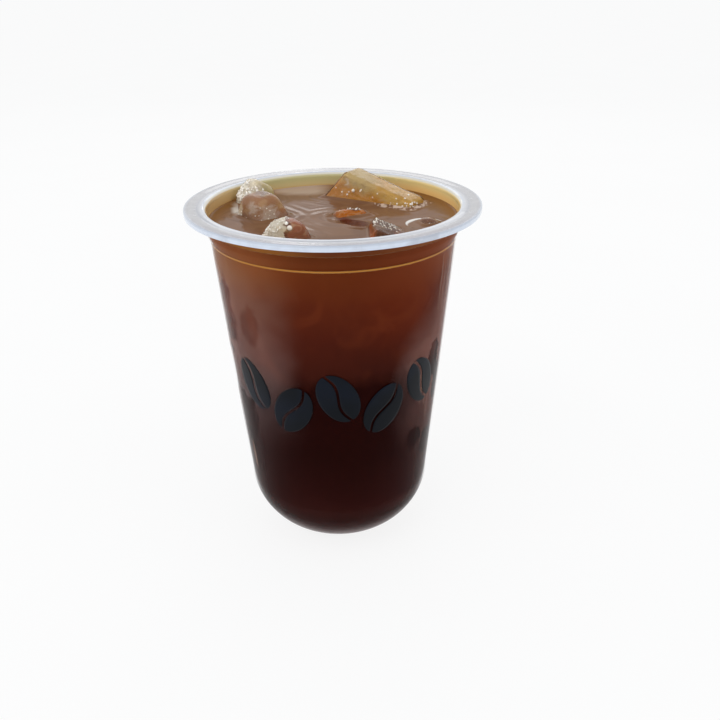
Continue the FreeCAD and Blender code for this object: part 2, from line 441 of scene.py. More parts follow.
def rim_material(cup):
    """Milky satin lip with a shaded groove, a bluish skirt painted lighter, and a painted grey shade along
    the front.
    """
    shader = Shader("milky_rim")
    here, (x, y, z) = shader.place()
    radius = (x * x + y * y) ** 0.5
    mouth, edge, top = cup.neck_radius / MM, cup.rim_radius / MM, cup.height / MM
    tone = shader.ramp(
        (radius - (mouth - 1.5)) / (edge - mouth + 1.5),
        [
            (0, srgb(222, 219, 210)),
            (0.11, srgb(228, 226, 222)),
            (0.19, cup.rim_edge),
            (0.34, srgb(190, 192, 199)),
            (0.46, cup.rim_groove),
            (0.58, cup.rim_top),
            (0.86, cup.rim_top),
            (1, cup.rim_edge),
        ],
    )
    # The skirt: bluish white, painted lighter to make up for the little light its upright face gets.
    skirt = z.band(top - 0.25, top - 0.9) * radius.band(edge - 1.2, edge - 0.4)
    # A painted grey shade across the outer part of the lip's upper face, along the front only.
    front = radius.band(edge - 3.4, edge - 1.6) * radius.band(edge - 0.1, edge - 0.5) * (-y).band(14, 36)
    tone = shader.mix(front * 0.85, tone, srgb(128, 124, 136))
    tone = shader.mix(skirt, tone, srgb(222, 231, 246))
    streak = shader.noise(shader.stretch(here, (0.2, 0.2, 0.2)), 0.4, 2)
    streak = (streak + (radius * 2.6).math("SINE") * 0.12).band(0.5, 0.62)
    tone = shader.mix(streak * radius.band(mouth + 3, mouth + 4) * 0.3, tone, srgb(144, 142, 150))
    grain = shader.noise(here, 0.35, 4)
    tone = shader.mix(grain.band(0.35, 0.75) * 0.2, tone, srgb(176, 179, 188))
    mouth_side = radius.band(mouth + 0.35, mouth + 0.1) * z.band(top - 0.1, top - 0.35)
    tone = shader.mix(mouth_side, tone, inner_wall(shader, cup, x, z))
    uneven = shader.bump(shader.noise(here, 0.22, 2), 0.00035, 0.5)
    coat = {"Coat Weight": 0.6, "Coat Roughness": 0.02, "Normal": uneven}
    return shader.finish(tone, 0.16 + 0.14 * grain.band(0.3, 0.8), 1.49, coat)


def spot(across, up, centre, reach, warp):
    """1 inside a ragged oval on the side, centre and reach in degrees and millimetres."""
    far = (((across - centre[0]) / reach[0]) ** 2 + ((up - centre[1]) / reach[1]) ** 2) ** 0.5
    return (far + warp).band(1.16, 0.84)


# Wiped places in the mist and its painted sheen: bearing, height, half width in degrees, half height in
# millimetres, share.
WIPED = (
    (-67, 90, 9, 13, 0.85),
    (-45, 90, 6, 6, 0.4),
    (-60, 54, 9, 11, 0.85),
    (-78, 66, 10, 7, 0.8),
    (48, 104, 9, 5.5, 0.8),
    (59, 71, 6, 7, 1),
    (66, 62, 5, 7, 1),
    (45, 45, 7, 5, 1),
    (62, 40, 7, 5, 0.9),
    (112, 88, 7, 11, 0.6),
    (124, 78, 9, 6, 0.5),
    (160, 56, 9, 14, 0.55),
    (-140, 80, 11, 8, 0.55),
    (-150, 68, 7, 8, 0.5),
    (-108, 50, 9, 12, 0.6),
)
# Pale runs where drops went down, painted pale as soft upright reflections along them: bearing, height, half
# width in degrees, half height in millimetres.
RUNS_AND_SHEEN = (
    (57, 100, 0.6, 9.5),
    (60.5, 96, 0.5, 8),
    (66, 95, 0.9, 12),
    (52.5, 64, 1.1, 10),
    (48, 66, 0.8, 8),
    (56, 58, 1.4, 7),
    (43, 69, 0.7, 6),
    (-62, 36, 1.6, 5),
    (-57, 106, 0.8, 5),
    (128, 90, 1, 14),
    (-150, 60, 1.2, 16),
)


def side_mist_and_sheen(bearing, z, wide, fine):
    """Mist on the left and right of the side, with a pale sheen painted into it where the side turns away;
    thin at the front, with ragged borders.
    """
    ragged = (fine - 0.5) * 6
    left = (bearing + (wide - 0.5) * 46 + ragged).band(-16, -68)
    climb = (z - 80).math("MAXIMUM", 0) * 1.1
    right = (bearing - climb + (wide - 0.5) * 34 + ragged).band(26, 60)
    return highest([left, right * (1 - 0.6 * bearing.band(62, 76) * bearing.band(114, 94))])


def wall_material(cup, coffee):
    """Clear wall: misted at both sides with a painted pale sheen, wiped in places; painted amber light at the
    neck and a painted golden line at the ledge; milky at the base, painted lighter at the very foot.
    """
    shader = Shader("misted_and_sheened_wall")
    here, (x, y, z) = shader.place()
    bearing = x.math("ARCTAN2", -y) * (180 / math.pi)
    radius = (x * x + y * y) ** 0.5
    blot = shader.noise(shader.stretch(here, (1, 1, 0.7)), 0.14, 6, 0.62, 0.5)
    warp = (blot - 0.5) * 3
    wide = shader.noise(here, 0.045, 3)
    fine = shader.noise(here, 0.5, 4, 0.6)
    wiped = highest([spot(bearing, z, (a, b), (c, d), warp) * share for a, b, c, d, share in WIPED])
    swayed = bearing + (wide - 0.5) * 9
    runs_and_sheen = highest([spot(swayed, z, (a, b), (c, d), warp * 0.5) for a, b, c, d in RUNS_AND_SHEEN])
    # Mist at both sides, with a pale sheen painted into it where the side turns away from the front.
    mist_and_sheen = side_mist_and_sheen(bearing, z, wide, fine) * (1 - wiped) * (0.85 + 0.3 * fine)
    mist_and_sheen = mist_and_sheen * z.band(18, 74) * z.band(118, 104)
    # Colour of the mist and its painted sheen: dark low down, pinkish higher up, amber at the top, redder on
    # the right.
    tone = shader.ramp(
        z / 120,
        [
            (0.12, srgb(80, 42, 38)),
            (0.38, srgb(100, 66, 64)),
            (0.52, srgb(150, 124, 122)),
            (0.68, srgb(190, 146, 136)),
            (0.84, srgb(184, 132, 108)),
            (0.95, srgb(184, 134, 84)),
        ],
    )
    tone = shader.mix(bearing.band(20, 60) * bearing.band(172, 115) * 0.6, tone, srgb(156, 92, 76))
    # Runs painted pale, as soft upright reflections along them.
    tone = shader.mix(runs_and_sheen * (1 - mist_and_sheen.clamp()) * 0.7, tone, srgb(190, 142, 112))

    level, bore = coffee.level / MM, cup.neck_radius / MM
    inside = radius.band(bore - 0.25, bore - 0.5) * z.band(20, 30)
    above = z.band(level - 0.1, level + 0.1) * inside
    tone = shader.mix(above, tone, inner_wall(shader, cup, x, z))
    # Above the coffee, the clear neck is painted with the amber light of the coffee behind it, lighter
    # towards the sides and most at the left.
    neck = z.band(level - 0.2, level + 0.2) * (1 - inside)
    across = x / radius
    amber = shader.mix(across.band(-0.04, -0.5), srgb(114, 57, 27), srgb(160, 100, 44))
    amber = shader.mix(across.band(0.15, 0.8), amber, srgb(142, 84, 48))
    tone = shader.mix(neck, tone, amber)
    # A thin golden line along the ledge step, painted light.
    ledge_glint = z.band(111.35, 111.05) * z.band(110.45, 110.75)
    tone = shader.mix(ledge_glint, tone, srgb(204, 140, 62))
    # The base: milky, painted lighter at the very foot to make up for the shade near the floor, and dark
    # above, where the coffee is deep.
    base = z.band(24, 9) * (1 - inside)
    milky_and_lit_foot = [(0.03, srgb(138, 88, 82)), (0.14, srgb(102, 54, 48))]
    deep = [(0.4, srgb(64, 22, 17)), (1, srgb(37, 8, 6))]
    tone = shader.mix(base.band(0, 0.4), tone, shader.ramp(z / 26, milky_and_lit_foot + deep))
    alpha = highest([mist_and_sheen * 0.42, runs_and_sheen * 0.45, ledge_glint * 0.8, above * 0.97, neck * 0.97, base * 0.93])
    uneven = shader.bump(shader.noise(here, 0.16, 2), 0.0006, 0.3)
    clear = {"Specular IOR Level": 0.22, "Alpha": alpha.clamp(), "Normal": uneven}
    return shader.finish(tone, 0.2 + 0.3 * mist_and_sheen, 1.25, clear)


LIP = 0.0006  # thickness of the lip and its skirt
LIP_ROUND = 0.00045
NECK_ROUND = 0.0009
FOOT_ROUND = 0.0004
# The shallow groove on the lip: distance in from its edge, and depth.
GROOVE = ((0.0012, 0.00003), (0.0022, 0.00012), (0.0032, 0.00026), (0.0038, 0.0003), (0.0044, 0.00018))


def foot_profile(cup):
    """From the middle of the base over the foot ring to the end of the round corner."""
    foot, ring = cup.foot_radius, cup.foot_radius - cup.foot_width
    points = line((0, cup.foot_recess), (ring - 0.0003, cup.foot_recess), 6)
    points += arc((ring + FOOT_ROUND, FOOT_ROUND), FOOT_ROUND, 180, 270, 4)
    points += arc((foot - FOOT_ROUND, FOOT_ROUND), FOOT_ROUND, -90, 0, 4)
    return points + [point for point in corner_arc(cup, 0, 0, 30) if point[0] > foot + 0.0002]


def side_profile(cup, start):
    """Up the outside from the round corner, over the ledge and up the neck."""
    points = line(start, (cup.taper_radius - 0.00006, cup.ledge_bottom - 0.0008), 40)
    points += [
        (cup.taper_radius, cup.ledge_bottom),
        (cup.taper_radius + 0.00012, cup.ledge_bottom + 0.0003),
        (cup.neck_radius - 0.0001, cup.ledge_top - 0.0003),
        (cup.neck_radius, cup.ledge_top),
    ]
    return points + line((cup.neck_radius, cup.ledge_top + 0.0004), (cup.neck_radius, cup.height - 0.0014), 8)


def lip_profile(cup):
    """Out under the lip, round its skirt and back over the groove into the mouth."""
    top, edge, bore = cup.height, cup.rim_radius, cup.neck_radius - cup.wall
    points = arc((cup.neck_radius + NECK_ROUND, top - 0.0015), NECK_ROUND, 180, 90, 5)
    points += [(edge - LIP - 0.0004, top - LIP), (edge - LIP, top - LIP - 0.0004)]
    points += arc((edge - LIP / 2, cup.skirt_bottom + LIP / 2), LIP / 2, 180, 360, 8)
    points += arc((edge - LIP_ROUND, top - LIP_ROUND), LIP_ROUND, 0, 90, 6)
    points += [(edge - back, top - drop) for back, drop in GROOVE]
    points += [(bore + 0.0019, top - 0.00003)]
    return points + arc((bore + cup.mouth_round, top - cup.mouth_round), cup.mouth_round, 90, 180, 9)


def inside_profile(cup):
    """Down the inside from the mouth to the middle of the base."""
    bore, inner = cup.neck_radius - cup.wall, cup.taper_radius - cup.wall
    corner = corner_arc(cup, cup.wall, cup.base_wall, 30)
    points = line((bore, cup.height - cup.mouth_round), (bore, cup.ledge_top), 12)
    points += line((inner, cup.ledge_bottom), corner[-1], 24)
    return points + corner[::-1] + [(0, cup.base_wall)]


class AMERICANO_OT_cup(bpy.types.Operator):
    """Turns the cup with its rolled rim, ledge, round base and foot ring"""

    bl_idname = "americano.cup"
    bl_label = "Cup"

    def execute(self, context):
        cup, coffee = context.scene.americano_cup, context.scene.americano_coffee
        foot = foot_profile(cup)
        profile = foot + side_profile(cup, foot[-1]) + lip_profile(cup) + inside_profile(cup)

        def slots(first, second):
            height = (first[1] + second[1]) / 2
            return 0 if height > cup.skirt_bottom - 0.0001 else 1

        mesh = turned("cup_shell", profile, around=288, slots=slots)
        piece("cup_shell", mesh, [rim_material(cup), wall_material(cup, coffee)], ["cup"])
        return {"FINISHED"}


# -------- coffee


def mesh_tree(points, faces):
    """A search tree of these points and faces, for distances."""
    return BVHTree.FromPolygons([point.copy() for point in points], faces)


def ice_tree():
    """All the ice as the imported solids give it."""
    points, faces = [], []
    for name in ICE_NAMES:
        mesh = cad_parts[name].data
        start = len(points)
        points += [v.co for v in mesh.vertices]
        faces += [[start + k for k in p.vertices] for p in mesh.polygons]
    return mesh_tree(points, faces)


def coffee_body_material():
    """Painted light: glowing amber near the top and at the sides, where daylight comes in, dark below, where
    the coffee is deep, a little lighter again at the very bottom, and warmer among the sunken ice.
    """
    shader = Shader("coffee_depth_and_glow")
    here, (x, y, z) = shader.place()
    cloud = shader.noise(shader.stretch(here, (1, 1, 0.7)), 0.06, 3, 0.5, 0.4)
    soft = shader.noise(here, 0.03, 2)
    height = (z + (cloud - 0.5) * 12 + (soft - 0.5) * 8) / 120
    tone = shader.ramp(
        height,
        [
            (0, srgb(70, 34, 30)),
            (0.10, srgb(58, 25, 21)),
            (0.22, srgb(42, 12, 9)),
            (0.36, srgb(32, 6, 4)),
            (0.585, srgb(33, 5, 3)),
            (0.63, srgb(60, 22, 14)),
            (0.74, srgb(76, 28, 16)),
            (0.84, srgb(90, 36, 18)),
            (0.91, srgb(102, 45, 19)),
            (1, srgb(112, 56, 26)),
        ],
    )
    around = (x * x + y * y) ** 0.5
    # Painted amber glow at both sides near the top.
    side_glow = (x / around).math("ABSOLUTE").band(0.12, 0.75) * z.band(97, 113)
    amber = shader.mix(x.band(-10, 14), srgb(150, 84, 46), srgb(134, 72, 44))
    tone = shader.mix(side_glow * 0.8, tone, amber)
    warm = x.band(2, 20) * x.band(36, 24) * z.band(76, 96) * (-y).band(-5, 10)
    tone = shader.mix(warm * 0.4, tone, srgb(104, 38, 14))
    lump = shader.noise(shader.stretch(here, (1, 1, 0.9)), 0.075, 2, 0.4, 0.8)
    sunk = lump.band(0.46, 0.66) * z.band(68, 82) * z.band(112, 100)
    tone = shader.mix(sunk * 0.22, tone, srgb(124, 58, 30))
    return shader.finish(tone, 0.16, 1.08)


PATCH = (6.6, -7.6)  # middle of the dark reddish patch beside the orange crescent, in millimetres


def shade_patch(x, y, ragged=0.5):
    """Distance from the middle of the slanting patch, 1 at its edge."""
    along = ((x - PATCH[0]) * 0.8 + (y - PATCH[1]) * 0.6) / 2.6
    over = ((x - PATCH[0]) * 0.6 - (y - PATCH[1]) * 0.8) / 5
    return (along * along + over * over) ** 0.5 + (ragged - 0.5) * 2


def far_from(x, y, centre, squash=1):
    """Distance from a place on the surface, in millimetres; x counts less where squash is under 1."""
    return ((x - centre[0]) ** 2 * squash + (y - centre[1]) ** 2) ** 0.5


def coffee_surface_material(coffee):
    """Greyish brown in daylight with painted reflection of the sky, with faint swirls, shore lines, the shade
    of the ice and painted highlights.
    """
    shader = Shader("coffee_surface")
    here, (x, y, z) = shader.place()
    shore = Field(shader, shader.add("Attribute", {"attribute_name": "shore"}).outputs["Fac"])
    swirl = shader.noise(shader.stretch(here, (1, 1.5, 0.2)), 0.055, 2, 0.4, 0.9)
    wide = shader.noise(here, 0.035, 2)
    tone = shader.mix(swirl.band(0.50, 0.60) * 0.55, coffee.surface, coffee.surface_dark)
    # Paler swirls: painted reflection of the sky.
    tone = shader.mix(wide.band(0.46, 0.6) * 0.6, tone, coffee.surface_sky_reflection)
    # A painted amber glow on the surface along the wall, from light coming in through it.
    tone = shader.mix(far_from(x, y, (0, 0)).band(34.5, 40.4) * 0.7, tone, srgb(146, 100, 42))

    # A pale reflection at the back, and thin rings round the ice.
    back = far_from(x, y, (-11, 36), 0.36) + (swirl - 0.5) * 8
    tone = shader.mix(back.band(10, 3) * 0.8, tone, srgb(196, 174, 156))
    rings = ((shore + (swirl - 0.5) * 14) * 1.7).math("SINE").band(0.3, 1)
    tone = shader.mix(rings * shore.band(7, 2) * wide.band(0.35, 0.65) * 0.32, tone, srgb(84, 50, 34))
    # A painted highlight on the rise of the coffee right at the ice.
    tone = shader.mix(shore.band(0.5, 0.1) * 0.35, tone, srgb(140, 104, 72))

    # Froth in front of the slab, a painted highlight as a pale streak at the left wall, and a painted white
    # highlight as a crescent at the right.
    froth = shader.noise(here, 0.5, 3, 0.6).band(0.46, 0.56) * shore.band(2.6, 0.8)
    froth = froth * x.band(12, 15) * y.band(0, 3) * y.band(24, 20)
    tone = shader.mix(froth * 0.7, tone, srgb(228, 204, 184))
    beside = (x + 33) + (y - 11) * 0.14
    streak = (beside + (swirl - 0.5) * 4).band(-1.8, 0.2) * beside.band(1.3, 0.8)
    tone = shader.mix(streak * y.band(1, 7) * y.band(21, 9) * 0.75, tone, srgb(232, 226, 216))
    crescent = far_from(x, y, (28.6, -9.8)).band(6.3, 5.8) * far_from(x, y, (29.4, -12)).band(6.1, 6.9)
    tone = shader.mix(crescent * 0.85, tone, FROST_AND_HIGHLIGHT_WHITE)

    patch = shade_patch(x, y, swirl)
    tone = shader.mix(patch.band(1.4, 0.8), tone, srgb(94, 44, 24))
    hollow = patch.band(2.4, 0.8) * (y - PATCH[1]) * -0.2
    return shader.finish(tone, 0.1, 1.11, {"Normal": shader.bump(swirl * 0.06 + hollow, 0.001)})


CLIMB = 0.0007  # how soon the rise against ice and wall dies away
RING_FADE, RING_STEP = 0.004, 0.0034  # how soon the rings round the ice die away, and their spacing
SHORE_REACH = 0.02  # how far out the ice is felt on the surface


def rise(cup, coffee, place, gap):
    """How far the surface stands over its calm level: low waves, and the rise against ice and wall."""
    from_wall = cup.neck_radius - cup.wall - math.hypot(place.x, place.y)
    if from_wall < -0.0002:
        return coffee.meniscus
    calm = min(max(shade_patch(place.x / MM, place.y / MM) - 1, 0), 1)
    waves = 0.55 * noise.noise(Vector((place.x * 60, place.y * 100, 3)))
    waves += 0.7 * math.exp(-gap / RING_FADE) * math.cos(gap / RING_STEP * 2 * math.pi)
    climb = 0.9 * math.exp(-gap / CLIMB) + math.exp(-from_wall / CLIMB)
    return calm * coffee.ripple * waves + coffee.meniscus * climb


def fill_profile(cup, coffee):
    """Up the middle of the wall, where no air shows, and in over the surface."""
    inset, floor = cup.wall / 2, cup.base_wall - 0.0004
    reach, rings = cup.neck_radius - inset, 150
    corner = corner_arc(cup, inset, floor, 26)
    points = [(0, floor)] + corner + line(corner[-1], (cup.taper_radius - inset, cup.ledge_bottom), 40)
    points += line((reach, cup.ledge_top), (reach, coffee.level + 0.0001), 4)
    return points + [(reach * (1 - i / rings), coffee.level) for i in range(1, rings + 1)]


class AMERICANO_OT_coffee(bpy.types.Operator):
    """Fills the cup with coffee that reaches into the wall, its surface rippled"""

    bl_idname = "americano.coffee"
    bl_label = "Coffee"

    def execute(self, context):
        cup, coffee = context.scene.americano_cup, context.scene.americano_coffee

        def slots(first, second):
            return 1 if min(first[1], second[1]) > coffee.level - 0.00001 else 0

        mesh = turned("coffee_fill", fill_profile(cup, coffee), around=240, slots=slots)
        tree = ice_tree()
        shore = mesh.attributes.new("shore", "FLOAT", "POINT")
        for vertex in mesh.vertices:
            place = vertex.co
            if place.z < coffee.level - 0.00002:
                continue
            near = tree.find_nearest(Vector((place.x, place.y, coffee.level)), SHORE_REACH)
            gap = near[3] if near[0] is not None else SHORE_REACH
            shore.data[vertex.index].value = gap / MM
            place.z = coffee.level + rise(cup, coffee, place, gap)
        mesh.update()
        materials = [coffee_body_material(), coffee_surface_material(coffee)]
        piece("coffee_fill", mesh, materials, ["coffee"])
        return {"FINISHED"}


# -------- ice

BUBBLES_FROM = 0.1154  # no bubble sits lower, under the coffee
DENTS, PITS, LUMPS = 90, 520, 210  # of the melting ice, for each metre

# Each lump: its main colour, washes of colour over it, frosted places and bubbles, in millimetres.
# A wash is (colour, strength, shares of x, y and height above the coffee, start, end).
# A frosted place is (x, y, height, reach, strength); bubbles are (x, y, height, spread, count, size).
# The skin is the clear layer's thickness, and rounding is how far melting has gone. Where bend is
# given, it is the clear layer's refraction.
ICE_LOOKS = {
    "ice_slab": {
        "main": srgb(200, 160, 88),
        "washes": (
            (srgb(192, 178, 140), 0.65, (-1, 0, 0.9), -14, -6),
            (srgb(200, 134, 48), 0.85, (0.28, 0, 1), 7.6, 4),
            (srgb(198, 142, 86), 0.8, (1, 0, 0), 6.5, 1.5),
            (srgb(182, 160, 134), 0.5, (1, 0, -0.5), -2, -5.5),
        ),
        "frost": ((5, 20, 6, 2, 0.5), (32, 8, 0.5, 4, 0.5)),
        "bubbles": (
            (6.8, 20.2, 3.4, 0.05, 1, 0.62),
            (5.2, 21.4, 2.6, 0.8, 2, 0.4),
            (9.6, 19, 3.6, 0.5, 2, 0.4),
            (2.4, 23.5, 3, 1.4, 2, 0.3),
            (20, 6, 0.4, 6, 34, 0.4),
            (30, 6, 0.5, 4, 30, 0.42),
        ),
        "skin": 0.6,
        "rounding": 14,
    },
    "ice_back_left": {
        "main": srgb(250, 246, 236),
        "washes": (
            (srgb(196, 182, 132), 0.95, (1, 0, 0.2), -27, -23),
            (srgb(250, 248, 243), 0.9, (-1, 0, 0), 26, 29),
        ),
        "frost": ((-31, 18, 4, 8, 1),),
        "bubbles": ((-31, 17, 5, 3, 90, 0.5),),
        "skin": 0.4,
        "rounding": 30,
    },
    "ice_left": {
        "main": srgb(164, 122, 94),
        "washes": (
            (srgb(178, 136, 78), 0.85, (1, 0, 0.5), -17.5, -14.5),
            (srgb(160, 98, 70), 0.7, (1, 0, -1.6), -23.5, -19.5),
            (srgb(160, 124, 106), 0.9, (0, 0, 1), 2.8, 0.9),
            # Painted dark edge along the top of the dome.
            (srgb(112, 92, 84), 0.8, (0, 0, 1), 6.2, 7),
            # A painted highlight as a pale streak down the left edge.
            (srgb(236, 226, 212), 0.9, (-1, 0, -0.3), 28.6, 30),
        ),
        "frost": (
            (-26, -2.3, 3.4, 2.4, 0.34),
            (-22.4, -3, 4.6, 2, 0.26),
            (-20.5, -3, 1.4, 3.6, 0.36),
        ),
        "bubbles": ((-22, -3, 1.2, 2.5, 14, 0.28), (-30.5, 3, 1, 2, 8, 0.3)),
        "skin": 0.5,
        "rounding": 70,
    },
    "ice_front_left": {
        "main": srgb(152, 92, 66),
        "washes": (
            (srgb(96, 60, 44), 0.7, (-1, 0, 0), 12.9, 13.6),
            (srgb(214, 206, 194), 0.95, (-1, 0, 0), 14.3, 14.8),
        ),
        "frost": ((-20.8, -22, 4, 6.8, 0.75),),
        "bubbles": (
            (-13.9, -25.4, 5.6, 0.04, 1, 0.6),
            (-12.9, -27, 4.6, 0.04, 1, 1),
            (-15, -25, 4, 1, 12, 0.3),
            (-20.5, -22, 4, 3.2, 110, 0.36),
        ),
        "skin": 0.6,
        "rounding": 40,
    },
    "ice_centre": {
        # Its orange is painted light that the slab bends onto it, with a painted dark edge along its top.
        "main": srgb(184, 104, 24),
        "washes": (
            (srgb(150, 92, 52), 0.8, (1, 0, 0), 3.6, 0.4),
            (srgb(84, 44, 24), 0.9, (0, 0.4, 1), 2, 2.5),
        ),
        "frost": (),
        "bubbles": ((5, 3, 2.2, 0.6, 4, 0.42), (7.8, 2, 1.8, 0.8, 4, 0.4)),
        "skin": 0.3,
        "rounding": 80,
    },
    "ice_front_right": {
        "main": srgb(92, 62, 50),
        "bend": 1.1,
        "washes": (
            (srgb(170, 92, 50), 0.85, (-1, 0, 0), -13, -11),
            (srgb(50, 38, 32), 0.85, (1, 0, 0), 16.5, 20),
            (srgb(130, 78, 64), 0.7, (0, 0, 1), 1.4, 0.2),
        ),
        "frost": ((12.2, -16.5, 4.2, 1.6, 0.5),),
        "bubbles": (
            (12.5, -18, 3.8, 1.4, 26, 0.26),
            (16.5, -17.5, 2.4, 2.4, 44, 0.24),
            (22, -17.5, 0.6, 0.2, 1, 0.7),
        ),
        "skin": 0.3,
        "rounding": 16,
    },
    "ice_right": {
        "main": srgb(150, 114, 98),
        "washes": (
            (srgb(116, 84, 72), 0.7, (0, -1, 0), 8.4, 10.5),
            # A painted white highlight on the back of the dome, as a crescent.
            (FROST_AND_HIGHLIGHT_WHITE, 0.9, (0.3, 1, 0.8), 2.6, 3.4),
        ),
        "frost": (),
        "bubbles": ((29.6, -12.6, 0.6, 0.8, 3, 0.3),),
        "skin": 0.3,
        "rounding": 28,
    },
}


def frosted(name, x, y, tall, wobble):
    """How frosted a lump is at a place, from its own list of frosted places."""
    places = []
    for fx, fy, fz, reach, share in ICE_LOOKS[name]["frost"]:
        far = ((x - fx) ** 2 + (y - fy) ** 2 * 0.4 + (tall - fz) ** 2) ** 0.5
        places.append((far + (wobble - 0.5) * 6).band(reach, reach * 0.45) * share)
    return highest(places)


def shell_material(name):
    """Clear skin of a lump, dimpled by melting and sparkling where it is frosted."""
    shader = Shader(name + "_clear")
    here, (x, y, z) = shader.place()
    dimple = shader.noise(here, 0.3, 3, 0.5, 0.8)
    frost = frosted(name, x, y, z - LEVEL, dimple)
    grit = shader.cells(here, 1.7)
    tone = shader.mix(shader.noise(here, 0.2, 2).band(0.35, 0.65), srgb(252, 249, 240), srgb(242, 232, 212))
    clear = {"Transmission Weight": 1, "Normal": shader.bump(dimple + grit * frost * 0.9, 0.0006, 0.55)}
    return shader.finish(tone, 0.02, ICE_LOOKS[name].get("bend", 1.22), clear)


def core_material(name):
    """Cloudy heart of a lump, washed with colour and frosted in places."""
    look = ICE_LOOKS[name]
    shader = Shader(name + "_core")
    here, (x, y, z) = shader.place()
    tall = z - LEVEL
    cloud = shader.noise(here, 0.17, 3, 0.5, 0.6)
    tone = look["main"]
    for tint, share, (across, along, up), start, end in look["washes"]:
        reach = x * across + y * along + tall * up + (cloud - 0.5) * 5
        tone = shader.mix(reach.band(start, end) * share, tone, tint)
    vein = shader.noise(shader.stretch(here, (1, 1, 1.8)), 0.28, 3, 0.5, 1)
    tone = shader.mix(vein.band(0.54, 0.68) * 0.3, tone, srgb(206, 184, 150))
    tone = shader.mix(vein.band(0.46, 0.34) * 0.22, tone, srgb(120, 80, 50))
    speck = shader.cells(here, 1.5).band(0.45, 0.2)
    frost = frosted(name, x, y, tall, vein) * (0.8 + 0.2 * speck)
    tone = shader.mix(frost, tone, FROST_AND_HIGHLIGHT_WHITE)
    return shader.finish(tone, 0.3, 1.12, {"Normal": shader.bump(vein * 0.7 + speck * frost, 0.0008, 0.6)})


def bubble_material():
    """Glossy pale bead with a faint painted glow from its emission, standing in for the daylight that trapped
    air catches.
    """
    shader = Shader("air_bubble")
    here, _ = shader.place()
    tone = shader.mix(shader.noise(here, 0.8, 2).band(0.4, 0.6), srgb(246, 243, 236), srgb(226, 216, 202))
    glow = {"Coat Weight": 0.5, "Emission Color": srgb(255, 252, 246), "Emission Strength": 0.12}
    return shader.finish(tone, 0.04, 1.5, glow)


def bubbles(name, mesh):
    """Air bubbles at the skin of a lump, half sunk in it."""
    tree = mesh_tree([v.co for v in mesh.vertices], [list(p.vertices) for p in mesh.polygons])
    dice = random.Random(name)
    shape = bmesh.new()
    for x, y, up, spread, count, size in ICE_LOOKS[name]["bubbles"]:
        for _ in range(count):
            guess = (dice.gauss(x, spread), dice.gauss(y, spread), LEVEL + dice.gauss(up, spread * 0.5))
            spot, normal, _, _ = tree.find_nearest(Vector(guess) * MM)
            radius = size * MM * dice.uniform(0.45, 1)
            if spot.z < BUBBLES_FROM or spot.z + radius > CAD_BOX[1][2]:
                continue
            seat = Matrix.Translation(spot - normal * radius * 0.35)
            bmesh.ops.create_icosphere(shape, subdivisions=2, radius=radius, matrix=seat)
    return as_mesh(shape, name + "_bubbles")


def remade(name, data, grain, rounding):
    """A mesh remade from small even faces, then rounded off."""
    rough = placed(name, data)
    remesh = rough.modifiers.new("Remesh", "REMESH")
    remesh.mode, remesh.voxel_size = "VOXEL", grain
    smooth = rough.modifiers.new("Smooth", "SMOOTH")
    smooth.factor, smooth.iterations = 0.5, rounding
    mesh = modified(rough)
    mesh.materials.clear()
    return mesh


def melted(name, ice):
    """A finer copy of an ice solid with melted dimples, kept inside its own box."""
    mesh = remade(name + "_rough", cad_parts[name].data.copy(), ice.grain, ICE_LOOKS[name]["rounding"])
    low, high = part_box(name)
    shift = Vector((len(name) * 1.7, ord(name[-1]) * 0.31, ord(name[4]) * 0.77))
    moves = []
    for vertex in mesh.vertices:
        dent = noise.fractal(vertex.co * DENTS + shift, 1.1, 2, 2)
        fine = noise.noise(vertex.co * PITS + shift)
        moves.append(vertex.normal * ice.melt * (dent * 1.1 - 0.25 + 0.18 * fine))
    for vertex, move in zip(mesh.vertices, moves):
        place = vertex.co + move
        vertex.co = [min(max(place[i], low[i]), high[i]) for i in range(3)]
    mesh.update()
    return mesh


def heart(shell, name, ice, inset):
    """A smaller, lumpier copy of a lump, set in from its skin."""
    core = shell.copy()
    for vertex, normal in zip(core.vertices, [v.normal.copy() for v in shell.vertices]):
        lumpy = 0.8 + 0.9 * abs(noise.noise(vertex.co * LUMPS))
        vertex.co = vertex.co - normal * inset * lumpy
    return remade(name, core, ice.grain * 1.3, 4)


class AMERICANO_OT_ice(bpy.types.Operator):
    """Melts each lump of ice and gives it a clear skin, a cloudy heart and bubbles"""

    bl_idname = "americano.ice"
    bl_label = "Ice"

    def execute(self, context):
        ice = context.scene.americano_ice
        air = bubble_material()
        for name in ICE_NAMES:
            mesh = melted(name, ice)
            core = heart(mesh, name + "_core", ice, ICE_LOOKS[name]["skin"] * MM)
            piece(name + "_melted", mesh, [shell_material(name)], [name])
            piece(name + "_core", core, [core_material(name)], ())
            piece(name + "_bubbles", bubbles(name, mesh), [air], ())
        return {"FINISHED"}


# -------- print


INK = 0.00008  # thickness of the ink, half of it in the wall
CREASE = 0.00045  # half the width of a bean's crease
SLIVER = 0.00005  # no part of a half bean is narrower


def ink_material(settings):
    """Dark blue-black ink, a little worn."""
    shader = Shader("printed_ink")
    here, _ = shader.place()
    wear = shader.noise(here, 0.9, 3)
    wide = shader.noise(here, 0.06, 2)
    tone = shader.mix(wide.band(0.4, 0.65), settings.ink, srgb(14, 20, 31))
    tone = shader.mix(wear.band(0.55, 0.75) * 0.3, tone, srgb(22, 22, 25))
    return shader.finish(tone, 0.35 + 0.1 * wear, 1.4, {"Specular IOR Level": 0.12})


